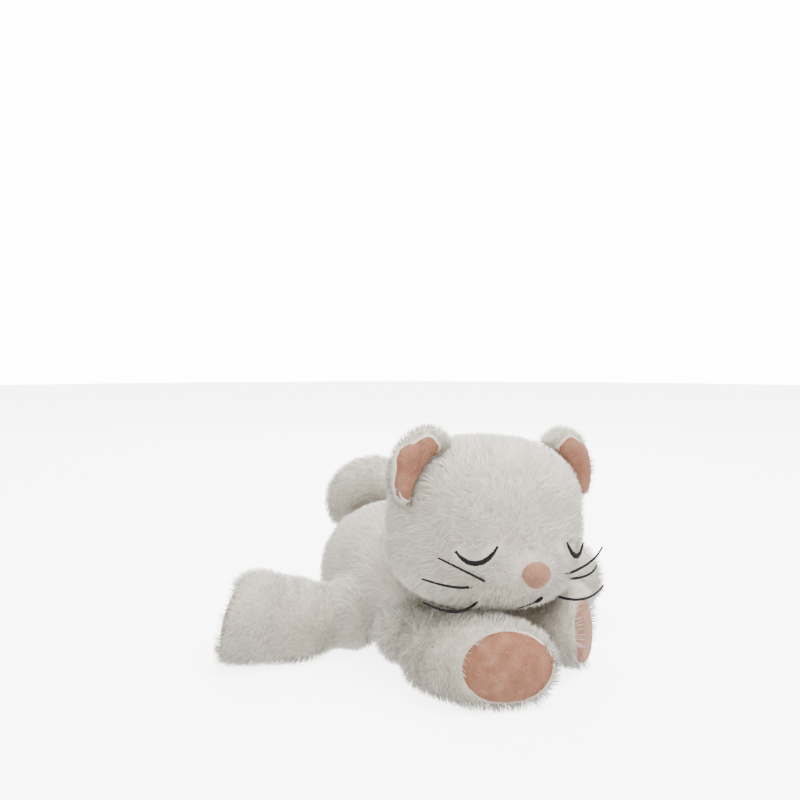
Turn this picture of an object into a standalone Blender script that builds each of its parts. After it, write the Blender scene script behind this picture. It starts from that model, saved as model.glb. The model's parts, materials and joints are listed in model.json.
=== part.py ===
"""Plush cat lying on its belly: covers, stuffing, pads, face details and tail.

Metres, +Z up. The cat faces -Y and its right side is -X. The origin is the
middle of the flat underside of the belly, which is the face the toy rests on.
Every soft form is one closed loft. Its cover is the outer layer of that form,
its stuffing is what is left inside, and a pad is the round of cover at its end.
"""

import bpy
import bmesh
import math
from mathutils import Vector
from mathutils.bvhtree import BVHTree

# ---------------------------------------------------------------- clearances
GAP = 0.0003              # between two pieces that are sewn or glued together
SWING_GAP = 0.0006        # round a limb's ball end, which turns in the body
FLOOR_GAP = 0.0004        # limbs hang this far above the belly's flat face
COVER_WALL = 0.005        # fur fabric, its pile pressed down
CUT_MARGIN = 0.03         # how far a cutter runs past what it cuts

# --------------------------------------------------------------------- torso
BODY_LENGTH = 0.166
BODY_WIDTH = 0.142
BODY_HEIGHT = 0.103
BODY_SIDE_SEAM_Z = 0.016
BODY_BLUNT = 0.76         # below 1 makes the ends and the underside fuller
BODY_BACK_BLUNT = 0.92    # the same, for the back in cross-section
BODY_FRONT_BLUNT = 1.0    # the same, for the end between the arms
BODY_FLAT_DEPTH = 0.006   # depth of the rounded underside that is pressed flat
BODY_WAIST = 0.42         # share of the height where the torso is widest
BODY_LEAST_RISE = 0.010   # least height kept above the widest line, under the neck
BODY_END_DOME = 0.003

# ---------------------------------------------------------------------- arms
SHOULDER_SPREAD = 0.044
SHOULDER_SETBACK = 0.014  # behind the front end of the torso
ARM_ROOT_RADIUS = 0.0225
ARM_LENGTH = 0.108        # shoulder centre to the sole
ARM_WIDTH = 0.062
ARM_HEIGHT = 0.050
PAW_WIDTH = 0.080
PAW_HEIGHT = 0.058
ARM_RIGHT_HEADING = 10.5  # degrees from straight ahead, towards the midline
ARM_LEFT_HEADING = -20.0
ARM_LEFT_FOLD = 0.036     # the left arm is folded shorter under the head
PAW_RIGHT_TURN = 29.0     # degrees that the sole turns outwards from the arm
PAW_LEFT_TURN = 22.0
PAW_LEAN = 8.0            # degrees that the sole looks up
PAW_PAD_WIDTH = 0.058
PAW_PAD_HEIGHT = 0.043
ARM_ROOM_AHEAD = 0.026    # the front of the torso is hollowed for the arm here
ARM_ROOM_CLEARANCE = 0.003

# ---------------------------------------------------------------------- legs
LIMB_SPACING = 0.047      # shoulder centre back to hip centre
HIP_INSET = 0.005         # hip centre inside the widest part of the torso
LEG_ROOT_RADIUS = 0.027
LEG_LENGTH = 0.094
LEG_WIDTH = 0.059
LEG_HEIGHT = 0.058
FOOT_WIDTH = 0.066
FOOT_HEIGHT = 0.066
LEG_HEADING = 9.0         # degrees back from straight out to the side
FOOT_TURN = 16.0
FOOT_LEAN = 15.0
FOOT_PAD_WIDTH = 0.040
FOOT_PAD_HEIGHT = 0.046

# ---------------------------------------------------------------------- neck
NECK_RADIUS = 0.029
NECK_SLOPE = 45.0         # degrees, the front of the back leans under the head
NECK_CLEARANCE = 0.006
NECK_SUNK = 0.004         # neck centre inside the head's skin
NECK_SETBACK = 0.018      # neck centre behind the front end of the torso

# ---------------------------------------------------------------------- head
HEAD_WIDTH = 0.138
HEAD_DEPTH = 0.118
HEAD_UP = 0.062           # middle of the head to the crown
HEAD_DOWN = 0.054         # middle of the head to the jaw
HEAD_CHEEK_BLUNT = 0.76
HEAD_JAW_BLUNT = 0.60     # the lower half is squarer, with full cheeks
HEAD_PROFILE_BLUNT = 0.84
HEAD_ARM_GAP = 0.003
HEAD_ROLL = 2.5           # degrees that the head leans to its left
HEAD_YAW = 1.0            # degrees that the face turns to its right
MUZZLE_REACH = 0.018
MUZZLE_SPREAD = 0.036
MUZZLE_DROP = 0.040
HEAD_SEAM_BEHIND_MIDDLE = 0.006

# ---------------------------------------------------------------------- ears
EAR_THICKNESS = 0.013
EAR_REACH = 0.025
EAR_GAP = 0.0012
EAR_INNER_END = 60.0      # degrees round the head from its side to its crown
EAR_OUTER_END = 10.0
EAR_FORWARD = 0.013       # ahead of the middle of the head
EAR_PEAK = 0.80           # below 1 moves the tip towards the crown
EAR_FULLNESS = 0.55
EAR_END_LIFT = 0.002
LINING_THICKNESS = 0.0018
LINING_INNER_MARGIN = 0.15   # share of the ear left bare at its crown end
LINING_OUTER_MARGIN = 0.05   # and at its cheek end
LINING_START = math.radians(57.0)
LINING_SWEEP = math.radians(86.0)
LINING_STEPS = 7

# ---------------------------------------------------------------------- face
NOSE_WIDTH = 0.0185
NOSE_HEIGHT = 0.0165
NOSE_DEPTH = 0.0110
NOSE_DROP = 0.021
NOSE_SUNK = 0.0015        # middle of the nose behind the tip of the muzzle
NOSE_TAPER = 0.35
STITCH_RADIUS = 0.0012
STITCH_LIFT = 0.0008      # between a stitch and the facets under it
EYE_POINTS = 9
MOUTH_POINTS = 5
EYE_SPREAD = 0.035
EYE_WIDTH = 0.0195
EYE_SAG = 0.0065
EYE_DROP = 0.0075         # ends of the closed lid under the middle of the head
EYE_TILT = 0.0016         # the inner end is this much higher
MOUTH_DROP = 0.036
MOUTH_START = 0.009       # to the cat's left of the middle, under the nose
MOUTH_WIDTH = 0.011
MOUTH_HEIGHT = 0.008
WHISKER_RADIUS = 0.0008
WHISKER_POINTS = 7
WHISKER_BOW = 0.0035      # how far a whisker bows ahead of its chord
WHISKERS = (
    # row, spread, drop, reach to the side, rise and set-back of its tip, sag
    ("upper", 0.030, 0.026, 0.033, 0.0165, 0.003, 0.0),
    ("middle", 0.036, 0.0305, 0.032, 0.0055, 0.008, 0.001),
    ("lower", 0.028, 0.041, 0.042, 0.0035, -0.003, 0.005),
)

# ---------------------------------------------------------------------- tail
TAIL_RADIUS = 0.0215
TAIL_ROOT_RADIUS = 0.019
TAIL_ROOT_SIDE = 0.024    # towards the cat's left, as the tail curls to its right
TAIL_ROOT_HEIGHT = 0.085
TAIL_ROOT_INSET = 0.014   # root centre inside the end of the rump
TAIL_ARC_RADIUS = 0.026
TAIL_ARC_SWEEP = 200.0
TAIL_LEAN = 32.0          # degrees back from straight across
TAIL_SWELL_SHARE = 0.30
TAIL_TIP_SHARE = 0.60
TAIL_TIP_ROUND = 0.80
TAIL_TIP_DOME = 0.007

# --------------------------------------------------------------- belly pouch
POUCH_LENGTH = 0.084
POUCH_WIDTH = 0.072
POUCH_HEIGHT = 0.011
POUCH_Y = 0.012
POUCH_LIFT = 0.0015       # above the inside of the belly cover
POUCH_EDGE = 0.86         # share of the outline left at its top and bottom
POUCH_BLUNT = 0.55

# --------------------------------------------------------------- mesh detail
ROUND = 20                # segments round a limb
BALL_RINGS = 4
BALL_END = math.radians(60.0)
LIMB_RINGS = 9
LIMB_SHAFT_SHARE = 0.34   # share of the limb over which it swells from its ball
LIMB_PAW_SHARE = 0.82     # where the paw is at its fullest
LIMB_BEND_SHARE = 0.30    # where the paw starts to turn
LIMB_UNDER = (0.35, 0.85)      # how blunt the underside is, shaft and paw
ARM_LEFT_UNDER = (0.8, 1.25)   # this arm lies lightly and stays round
SOLE_ROUND = 0.36
SOLE_DOME = 0.003
BODY_ROUND = 28           # segments round the head and the torso
RINGS = 12                # rings along the head and the torso
TAIL_RINGS = 8
EAR_RINGS = 10
DOME_RINGS = 5
ROOT_MOUTH_SHARE = 0.72   # size of a limb cover's open root against its ball
PAD_PLUG_DEPTH = 0.009

# ------------------------------------------------------------ derived places
BODY_FRONT_Y = -BODY_LENGTH / 2
SHOULDER_Y = BODY_FRONT_Y + SHOULDER_SETBACK
SHOULDER_Z = ARM_ROOT_RADIUS + FLOOR_GAP
HIP_X = BODY_WIDTH / 2 - HIP_INSET
HIP_Y = SHOULDER_Y + LIMB_SPACING
HIP_Z = LEG_ROOT_RADIUS + FLOOR_GAP
HEAD_HALF_WIDTH = HEAD_WIDTH / 2
HEAD_HALF_DEPTH = HEAD_DEPTH / 2
HEAD_Z = ARM_HEIGHT + FLOOR_GAP + HEAD_ARM_GAP + HEAD_DOWN


# ------------------------------------------------------------------- helpers
def clear_scene():
    for old in list(bpy.data.objects):
        bpy.data.objects.remove(old, do_unlink=True)


def material(name, colour, roughness):
    made = bpy.data.materials.new(name)
    made.use_nodes = True
    shader = made.node_tree.nodes["Principled BSDF"]
    shader.inputs["Base Color"].default_value = (*colour, 1.0)
    shader.inputs["Roughness"].default_value = roughness
    shader.inputs["Metallic"].default_value = 0.0
    return made


def joint_empty(name, place):
    empty = bpy.data.objects.new(name, None)
    empty.empty_display_size = 0.02
    empty.location = place
    bpy.context.collection.objects.link(empty)
    return empty


def power(value, exponent):
    return math.copysign(abs(value) ** exponent, value)


def smooth_step(low, high, value):
    share = min(max((value - low) / (high - low), 0.0), 1.0)
    return share * share * (3.0 - 2.0 * share)


def loft(rings, first=None, last=None):
    """A closed mesh through rings of equal size; first and last are pole points."""
    work = bmesh.new()
    loops = [[work.verts.new(point) for point in ring] for ring in rings]
    count = len(loops[0])
    for lower, upper in zip(loops, loops[1:]):
        for step in range(count):
            after = (step + 1) % count
            work.faces.new((lower[step], lower[after], upper[after], upper[step]))
    for loop, pole in ((loops[0], first), (loops[-1], last)):
        if pole is None:
            work.faces.new(loop)
            continue
        tip = work.verts.new(pole)
        for step in range(count):
            work.faces.new((loop[step], loop[(step + 1) % count], tip))
    bmesh.ops.recalc_face_normals(work, faces=work.faces)
    bmesh.ops.triangulate(work, faces=work.faces)
    mesh = bpy.data.meshes.new("loft")
    work.to_mesh(mesh)
    work.free()
    mesh.shade_smooth()
    return mesh


def add_object(name, mesh, parent=None, finish=None):
    made = bpy.data.objects.new(name, mesh)
    bpy.context.collection.objects.link(made)
    made.parent = parent
    if finish is not None:
        mesh.materials.clear()
        mesh.materials.append(finish)
    return made


def as_cutter(made):
    made.hide_render = True
    made.display_type = "WIRE"
    return made


def offset(made, distance):
    """Moves the whole surface along its normals, outwards when positive."""
    step = made.modifiers.new("offset", "DISPLACE")
    step.direction = "NORMAL"
    step.mid_level = 0.0
    step.strength = distance
    return made


def cut(made, tool, operation="DIFFERENCE"):
    step = made.modifiers.new("cut_" + tool.name, "BOOLEAN")
    step.operation = operation
    step.solver = "EXACT"
    step.object = tool


def ball_mesh(radius, segments=20, rings=12):
    work = bmesh.new()
    bmesh.ops.create_uvsphere(work, u_segments=segments, v_segments=rings, radius=radius)
    mesh = bpy.data.meshes.new("ball")
    work.to_mesh(mesh)
    work.free()
    mesh.shade_smooth()
    return mesh


def ball_cutter(name, place, radius):
    made = as_cutter(add_object(name, ball_mesh(radius)))
    made.location = place
    return made


def dome_cutter(name, place, radius):
    """A half ball on a round bar that runs down past the floor."""
    rings = []
    for height, share in [(-place.z - CUT_MARGIN, 1.0)] + [
        (radius * math.sin(math.pi / 2 * step / DOME_RINGS), math.cos(math.pi / 2 * step / DOME_RINGS))
        for step in range(DOME_RINGS)
    ]:
        rings.append([
            Vector((
                radius * share * math.cos(2 * math.pi * (step + 0.5) / ROUND),
                radius * share * math.sin(2 * math.pi * (step + 0.5) / ROUND),
                height,
            ))
            for step in range(ROUND)
        ])
    made = as_cutter(add_object(name, loft(rings, None, Vector((0.0, 0.0, radius)))))
    made.location = place
    return made


def box_cutter(name, low, high, parent=None):
    work = bmesh.new()
    bmesh.ops.create_cube(work, size=1.0)
    middle = (Vector(low) + Vector(high)) / 2
    size = Vector(high) - Vector(low)
    for corner in work.verts:
        corner.co = Vector(a * b + c for a, b, c in zip(corner.co, size, middle))
    mesh = bpy.data.meshes.new(name)
    work.to_mesh(mesh)
    work.free()
    return as_cutter(add_object(name, mesh, parent))


def oval_plug(name, parent, half_width, half_height, start, end, turn=0.0, lean=0.0):
    """An oval bar along local X between two depths, turned about local Z."""
    rings = []
    for depth in (start, end):
        rings.append([
            Vector((
                depth,
                half_width * math.cos(2 * math.pi * step / ROUND),
                half_height * math.sin(2 * math.pi * step / ROUND),
            ))
            for step in range(ROUND)
        ])
    made = as_cutter(add_object(name, loft(rings), parent))
    made.rotation_euler = (0.0, -lean, turn)
    return made


def tube(name, points, radius, parent, finish):
    """A thread or bristle through its parent's points, with flat ends."""
    curve = bpy.data.curves.new(name, "CURVE")
    curve.dimensions = "3D"
    curve.bevel_depth = radius
    curve.bevel_resolution = 1
    curve.use_fill_caps = True
    line = curve.splines.new("POLY")
    line.points.add(len(points) - 1)
    for slot, point in zip(line.points, points):
        slot.co = (*point, 1.0)
    curve.materials.append(finish)
    made = bpy.data.objects.new(name, curve)
    bpy.context.collection.objects.link(made)
    made.parent = parent
    return made


# ---------------------------------------------------------------- head form
def head_offset(around, along, grow=0.0):
    """A point of the head from its middle; along runs from the face to the nape."""
    ring = power(math.sin(along), HEAD_PROFILE_BLUNT)
    blunt = HEAD_CHEEK_BLUNT if math.sin(around) > 0 else HEAD_JAW_BLUNT
    side = power(math.cos(around), blunt)
    rise = power(math.sin(around), blunt)
    tall = HEAD_UP if rise > 0 else HEAD_DOWN
    point = Vector((
        (HEAD_HALF_WIDTH + grow) * ring * side,
        -(HEAD_HALF_DEPTH + grow) * power(math.cos(along), HEAD_PROFILE_BLUNT),
        (tall + grow) * ring * rise,
    ))
    if along < math.pi / 2:
        reach = math.hypot(point.x, point.z + MUZZLE_DROP) / MUZZLE_SPREAD
        point.y -= MUZZLE_REACH * math.exp(-reach * reach)
    return point


def head_mesh(centre):
    rings = []
    for index in range(1, RINGS):
        along = math.pi * index / RINGS
        rings.append([
            centre + head_offset(2 * math.pi * step / BODY_ROUND, along)
            for step in range(BODY_ROUND)
        ])
    front = centre + head_offset(0.0, 0.0)
    back = centre + head_offset(0.0, math.pi)
    return loft(rings, front, back)


def head_support(direction):
    """How far the head reaches from its middle in a direction."""
    reach = 0.0
    for row in range(RINGS + 1):
        for step in range(BODY_ROUND):
            point = head_offset(2 * math.pi * step / BODY_ROUND, math.pi * row / RINGS)
            reach = max(reach, point.dot(direction))
    return reach


SLOPE = math.radians(NECK_SLOPE)
TO_BODY = Vector((0.0, math.sin(SLOPE), -math.cos(SLOPE)))
HEAD_REACH = head_support(TO_BODY)
NECK_DEPTH = HEAD_REACH - NECK_SUNK
NECK = Vector((0.0, BODY_FRONT_Y + NECK_SETBACK, HEAD_Z + NECK_DEPTH * TO_BODY.z))
HEAD = NECK - NECK_DEPTH * TO_BODY
MIDDLE = HEAD - NECK      # the middle of the head from its joint


# ---------------------------------------------------------------- torso form
def back_limit(y):
    """The height under which the torso clears the back of the head."""
    edge = HEAD + TO_BODY * (HEAD_REACH + NECK_CLEARANCE)
    return edge.z + (y - edge.y) * math.tan(SLOPE)


def torso_ring(along):
    taper = BODY_FRONT_BLUNT if along < math.pi / 2 else BODY_BLUNT
    ring = power(math.sin(along), taper)
    y = -BODY_LENGTH / 2 * power(math.cos(along), taper)
    waist = BODY_HEIGHT * BODY_WAIST
    points = []
    for step in range(BODY_ROUND):
        around = 2 * math.pi * step / BODY_ROUND
        blunt = BODY_BACK_BLUNT if math.sin(around) > 0 else BODY_BLUNT
        rise = power(math.sin(around), blunt)
        x = BODY_WIDTH / 2 * ring * power(math.cos(around), blunt)
        if rise > 0:
            top = min(waist + (BODY_HEIGHT - waist) * ring, back_limit(y))
            base = min(waist, top - BODY_LEAST_RISE)
            z = base + (top - base) * rise
        else:
            base = min(waist, back_limit(y) - BODY_LEAST_RISE)
            z = base + (base + BODY_FLAT_DEPTH) * ring * rise
        points.append(Vector((x, y, max(z, 0.0))))
    return points


def torso_mesh():
    rings = [torso_ring(math.pi * index / RINGS) for index in range(1, RINGS)]
    poles = []
    for end in (rings[0], rings[-1]):
        middle = sum(end, Vector()) / len(end)
        middle.y += math.copysign(BODY_END_DOME, middle.y)
        poles.append(middle)
    return loft(rings, *poles)


# ----------------------------------------------------------------- limb form
def limb_mesh(radius, length, middle, end, turn, lean, under):
    """A limb along local X from the joint centre, lying on the floor.

    middle and end are (width, height) of its shaft and of its paw, and under
    is how blunt the underside of each is.
    """
    rings = []
    for index in range(1, BALL_RINGS + 1):
        angle = math.pi - index * (math.pi - BALL_END) / BALL_RINGS
        wide = radius * math.sin(angle)
        rings.append(oval(radius * math.cos(angle), 0.0, wide, wide))
    neck = radius * math.sin(BALL_END)
    start = radius * math.cos(BALL_END)
    for index in range(1, LIMB_RINGS + 1):
        share = index / LIMB_RINGS
        swell = smooth_step(0.0, LIMB_SHAFT_SHARE, share)
        widen = smooth_step(LIMB_SHAFT_SHARE, LIMB_PAW_SHARE, share)
        round_off = math.sqrt(max(1.0 - (max(share - LIMB_PAW_SHARE, 0.0) / SOLE_ROUND) ** 2, 0.0))
        wide = neck + (middle[0] / 2 - neck) * swell + (end[0] - middle[0]) / 2 * widen
        tall = neck + (middle[1] / 2 - neck) * swell + (end[1] - middle[1]) / 2 * widen
        lift = (tall - radius) * smooth_step(0.0, LIMB_SHAFT_SHARE, share)
        bend = smooth_step(LIMB_BEND_SHARE, 1.0, share)
        flat = 1.0 + (under[0] - 1.0) * swell + (under[1] - under[0]) * bend
        depth = start + (length - start) * share
        rings.append(oval(depth, lift, wide * round_off, tall * round_off, bend * turn, bend * lean, flat))
    last = rings[-1]
    tip = sum(last, Vector()) / len(last)
    tip += Vector((math.cos(turn), math.sin(turn), math.sin(lean))) * SOLE_DOME
    return loft(rings, Vector((-radius, 0.0, 0.0)), tip)


def oval(depth, lift, half_width, half_height, bend=0.0, lean=0.0, flat=1.0):
    """A section of a limb; bend turns it sideways and lean tips its top back."""
    points = []
    for step in range(ROUND):
        around = 2 * math.pi * step / ROUND
        under = flat if math.sin(around) < 0 else 1.0
        across = half_width * power(math.cos(around), under)
        rise = half_height * power(math.sin(around), under)
        points.append(Vector((
            depth - across * math.sin(bend) - rise * math.tan(lean),
            across * math.cos(bend),
            lift + rise,
        )))
    return points


# ---------------------------------------------------------------- tail form
def tail_middle(angle):
    """A point of the tail's middle line from its root; angle grows from the root."""
    side = math.radians(TAIL_LEAN)
    out = Vector((-math.cos(side), math.sin(side), 0.0))
    reach = TAIL_ARC_RADIUS * (1.0 - math.cos(angle))
    return out * reach + Vector((0.0, 0.0, TAIL_ARC_RADIUS * math.sin(angle)))


def tail_mesh():
    side = math.radians(TAIL_LEAN)
    out = Vector((-math.cos(side), math.sin(side), 0.0))
    across = Vector((math.sin(side), math.cos(side), 0.0))
    rings = []
    for index in range(1, BALL_RINGS + 1):
        angle = math.pi - index * (math.pi - BALL_END) / BALL_RINGS
        wide = TAIL_ROOT_RADIUS * math.sin(angle)
        rings.append(tail_ring(Vector((0.0, 0.0, TAIL_ROOT_RADIUS * math.cos(angle))), wide, out, across))
    first_angle = TAIL_ROOT_RADIUS * math.cos(BALL_END) / TAIL_ARC_RADIUS
    last_angle = math.radians(TAIL_ARC_SWEEP)
    neck = TAIL_ROOT_RADIUS * math.sin(BALL_END)
    for index in range(1, TAIL_RINGS + 1):
        share = index / TAIL_RINGS
        angle = first_angle + (last_angle - first_angle) * share
        swell = neck + (TAIL_RADIUS - neck) * smooth_step(0.0, TAIL_SWELL_SHARE, share)
        tip = max(share - TAIL_TIP_SHARE, 0.0) / (1.0 - TAIL_TIP_SHARE)
        wide = swell * math.sqrt(max(1.0 - (TAIL_TIP_ROUND * tip) ** 2, 0.0))
        outwards = out * math.cos(angle) - Vector((0.0, 0.0, math.sin(angle)))
        rings.append(tail_ring(tail_middle(angle), wide, outwards, across))
    ahead = out * math.sin(last_angle) + Vector((0.0, 0.0, math.cos(last_angle)))
    tip_point = tail_middle(last_angle) + ahead * TAIL_TIP_DOME
    return loft(rings, Vector((0.0, 0.0, -TAIL_ROOT_RADIUS)), tip_point)


def tail_ring(middle, radius, outwards, across):
    points = []
    for step in range(ROUND):
        around = 2 * math.pi * step / ROUND
        points.append(middle + outwards * (radius * math.cos(around)) + across * (radius * math.sin(around)))
    return points


# -------------------------------------------------------------------- pieces
def build_torso(finish):
    form = torso_mesh()
    reach = BODY_LENGTH + CUT_MARGIN
    inner = offset(as_cutter(add_object("torso_inner", form)), -COVER_WALL)
    upper = box_cutter(
        "torso_upper_half",
        (-reach, -reach, BODY_SIDE_SEAM_Z),
        (reach, reach, BODY_HEIGHT + CUT_MARGIN),
    )
    lower = box_cutter(
        "torso_lower_half",
        (-reach, -reach, -CUT_MARGIN),
        (reach, reach, BODY_SIDE_SEAM_Z + GAP),
    )
    sockets = [
        ball_cutter("neck_socket", NECK, NECK_RADIUS + SWING_GAP),
        ball_cutter("tail_socket", TAIL_ROOT, TAIL_ROOT_RADIUS + SWING_GAP),
    ]
    for side, label in SIDES:
        shoulder = Vector((side * SHOULDER_SPREAD, SHOULDER_Y, SHOULDER_Z))
        hip = Vector((side * HIP_X, HIP_Y, HIP_Z))
        sockets.append(dome_cutter("shoulder_socket_" + label, shoulder, ARM_ROOT_RADIUS + SWING_GAP))
        room = shoulder + Vector((0.0, -ARM_ROOM_AHEAD, 0.0))
        sockets.append(dome_cutter("arm_room_" + label, room, ARM_WIDTH / 2 + ARM_ROOM_CLEARANCE))
        sockets.append(dome_cutter("hip_socket_" + label, hip, LEG_ROOT_RADIUS + SWING_GAP))

    back = add_object("back_cover", form.copy(), None, finish["fur"])
    belly = add_object("belly_cover", form.copy(), None, finish["fur"])
    stuffing = add_object("body_stuffing", form.copy(), None, finish["fibre"])
    offset(stuffing, -COVER_WALL - GAP)
    cut(back, inner)
    cut(back, lower)
    cut(belly, inner)
    cut(belly, upper)
    for piece in (back, belly, stuffing):
        for socket in sockets:
            cut(piece, socket)

    pouch_floor = COVER_WALL + POUCH_LIFT
    pouch = pouch_mesh(POUCH_LENGTH, POUCH_WIDTH, POUCH_HEIGHT, POUCH_EDGE)
    bag = add_object("belly_bead_pouch", pouch, None, finish["pouch"])
    bag.location = (0.0, POUCH_Y, pouch_floor + GAP)
    room = as_cutter(add_object("pouch_room", pouch_mesh(
        POUCH_LENGTH + 2 * GAP,
        POUCH_WIDTH + 2 * GAP,
        POUCH_HEIGHT + GAP + CUT_MARGIN,
        1.0,
    )))
    room.location = (0.0, POUCH_Y, pouch_floor + GAP - CUT_MARGIN)
    cut(stuffing, room)

    neck = add_object("neck_stuffing", ball_mesh(NECK_RADIUS), None, finish["fibre"])
    neck.location = NECK


def pouch_mesh(length, width, height, edge):
    """A flat bag with round corners, standing on z = 0."""
    rings = []
    for z, share in ((0.0, edge), (height / 2, 1.0), (height, edge)):
        rings.append([
            Vector((
                share * width / 2 * power(math.cos(2 * math.pi * step / ROUND), POUCH_BLUNT),
                share * length / 2 * power(math.sin(2 * math.pi * step / ROUND), POUCH_BLUNT),
                z,
            ))
            for step in range(ROUND)
        ])
    return loft(rings)


def build_head(finish):
    hub = joint_empty("head_joint", NECK)
    hub.rotation_euler = (0.0, math.radians(HEAD_ROLL), -math.radians(HEAD_YAW))
    form = head_mesh(MIDDLE)
    seam_y = MIDDLE.y + HEAD_SEAM_BEHIND_MIDDLE
    reach = HEAD_WIDTH + CUT_MARGIN
    inner = offset(as_cutter(add_object("head_inner", form, hub)), -COVER_WALL)
    front = box_cutter(
        "head_front_half",
        (-reach, MIDDLE.y - reach, MIDDLE.z - reach),
        (reach, seam_y + GAP, MIDDLE.z + reach),
        hub,
    )
    rear = box_cutter(
        "head_rear_half",
        (-reach, seam_y, MIDDLE.z - reach),
        (reach, MIDDLE.y + reach, MIDDLE.z + reach),
        hub,
    )
    socket = ball_cutter("head_neck_socket", NECK, NECK_RADIUS + SWING_GAP)
    skin = offset(as_cutter(add_object("head_skin", form, hub)), GAP)

    face = add_object("face_cover", form.copy(), hub, finish["fur"])
    nape = add_object("head_back_cover", form.copy(), hub, finish["fur"])
    stuffing = add_object("head_stuffing", form.copy(), hub, finish["fibre"])
    offset(stuffing, -COVER_WALL - GAP)
    cut(face, inner)
    cut(face, rear)
    cut(nape, inner)
    cut(nape, front)
    cut(nape, socket)
    cut(stuffing, socket)

    build_nose(hub, form, skin, finish)
    build_stitches(hub, form, finish)
    for side, label in SIDES:
        build_ear(side, label, hub, form, finish)


def surface_point(form, x, z, lift):
    """The point of the face straight ahead of (x, z), raised off the fur."""
    tree = FORM_TREES.setdefault(form.name, mesh_tree(form))
    start = Vector((x, MIDDLE.y - HEAD_DEPTH, z))
    place, normal, _, _ = tree.ray_cast(start, Vector((0.0, 1.0, 0.0)))
    return place + normal * lift


def mesh_tree(form):
    corners = [vertex.co for vertex in form.vertices]
    faces = [list(face.vertices) for face in form.polygons]
    return BVHTree.FromPolygons(corners, faces)


def build_nose(hub, form, skin, finish):
    nose = ball_mesh(1.0, ROUND, RINGS)
    for vertex in nose.vertices:
        narrow = 1.0 + NOSE_TAPER * min(vertex.co.z, 0.0)
        vertex.co.x *= NOSE_WIDTH / 2 * narrow
        vertex.co.y *= NOSE_DEPTH / 2
        vertex.co.z *= NOSE_HEIGHT / 2
    made = add_object("nose", nose, hub, finish["nose"])
    tip = surface_point(form, 0.0, MIDDLE.z - NOSE_DROP, 0.0)
    made.location = tip + Vector((0.0, NOSE_SUNK, 0.0))
    cut(made, skin)


def build_stitches(hub, form, finish):
    lift = STITCH_RADIUS + STITCH_LIFT
    for side, label in SIDES:
        points = []
        for step in range(EYE_POINTS):
            share = 2.0 * step / (EYE_POINTS - 1) - 1.0
            x = side * (EYE_SPREAD + share * EYE_WIDTH / 2)
            z = MIDDLE.z - EYE_DROP - EYE_TILT * share - EYE_SAG * (1.0 - share * share)
            points.append(surface_point(form, x, z, lift))
        tube("eye_" + label, points, STITCH_RADIUS, hub, finish["thread"])

    points = []
    for step in range(MOUTH_POINTS):
        share = step / (MOUTH_POINTS - 1)
        x = MOUTH_START - MOUTH_WIDTH * share
        z = MIDDLE.z - MOUTH_DROP - MOUTH_HEIGHT * math.sin(share * math.pi / 2)
        points.append(surface_point(form, x, z, lift))
    tube("mouth_stitch", points, STITCH_RADIUS, hub, finish["thread"])

    for side, label in SIDES:
        for row, spread, drop, reach, rise, back, sag in WHISKERS:
            root = surface_point(form, side * spread, MIDDLE.z - drop, WHISKER_RADIUS + STITCH_LIFT)
            points = []
            for step in range(WHISKER_POINTS):
                share = step / (WHISKER_POINTS - 1)
                arch = 4.0 * share * (1.0 - share)
                points.append(root + Vector((
                    side * reach * share,
                    back * share - WHISKER_BOW * arch,
                    rise * share - sag * arch,
                )))
            tube("whisker_" + label + "_" + row, points, WHISKER_RADIUS, hub, finish["bristle"])


def build_ear(side, label, hub, form, finish):
    tree = FORM_TREES.setdefault(form.name, mesh_tree(form))
    inner_end = math.radians(EAR_INNER_END)
    outer_end = math.radians(EAR_OUTER_END)
    bases = []
    for step in range(EAR_RINGS + 1):
        angle = inner_end + (outer_end - inner_end) * step / EAR_RINGS
        away = Vector((side * math.cos(angle), 0.0, math.sin(angle)))
        middle = MIDDLE + Vector((0.0, -EAR_FORWARD, 0.0))
        place, _, _, _ = tree.ray_cast(middle + away * HEAD_WIDTH * 2, -away)
        bases.append((place + away * EAR_GAP, away))
    pivot = bases[EAR_RINGS // 2][0]
    ear_hub = joint_empty("ear_joint_" + label, pivot)
    ear_hub.parent = hub

    rings = []
    lining = []
    for step in range(1, EAR_RINGS):
        share = step / EAR_RINGS
        base, away = bases[step]
        base = base - pivot
        height = EAR_REACH * math.sin(math.pi * share ** EAR_PEAK) ** EAR_FULLNESS
        rings.append(ear_ring(base, away, height, 0.0, 2 * math.pi, ROUND, 0.0))
        if LINING_INNER_MARGIN < share < 1.0 - LINING_OUTER_MARGIN:
            outside = GAP + LINING_THICKNESS
            outer = ear_ring(base, away, height, LINING_START, LINING_SWEEP, LINING_STEPS, outside)
            under = ear_ring(base, away, height, LINING_START, LINING_SWEEP, LINING_STEPS, GAP)
            lining.append(outer + under[::-1])
    first = bases[0][0] - pivot + bases[0][1] * EAR_END_LIFT
    last = bases[-1][0] - pivot + bases[-1][1] * EAR_END_LIFT
    add_object("ear_" + label + "_back", loft(rings, first, last), ear_hub, finish["fur"])
    add_object("ear_" + label + "_lining", loft(lining), ear_hub, finish["velour"])


def ear_ring(base, away, height, start, sweep, steps, grow):
    """Part of an oval section of the ear: 0 is at the tip, a quarter turn is the front."""
    points = []
    closed = sweep >= 2 * math.pi
    for step in range(steps):
        around = start + sweep * step / (steps if closed else steps - 1)
        reach = height / 2 * (1.0 + math.cos(around)) + grow * math.cos(around)
        front = (EAR_THICKNESS / 2 + grow) * math.sin(around)
        points.append(base + away * reach + Vector((0.0, -front, 0.0)))
    return points


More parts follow.
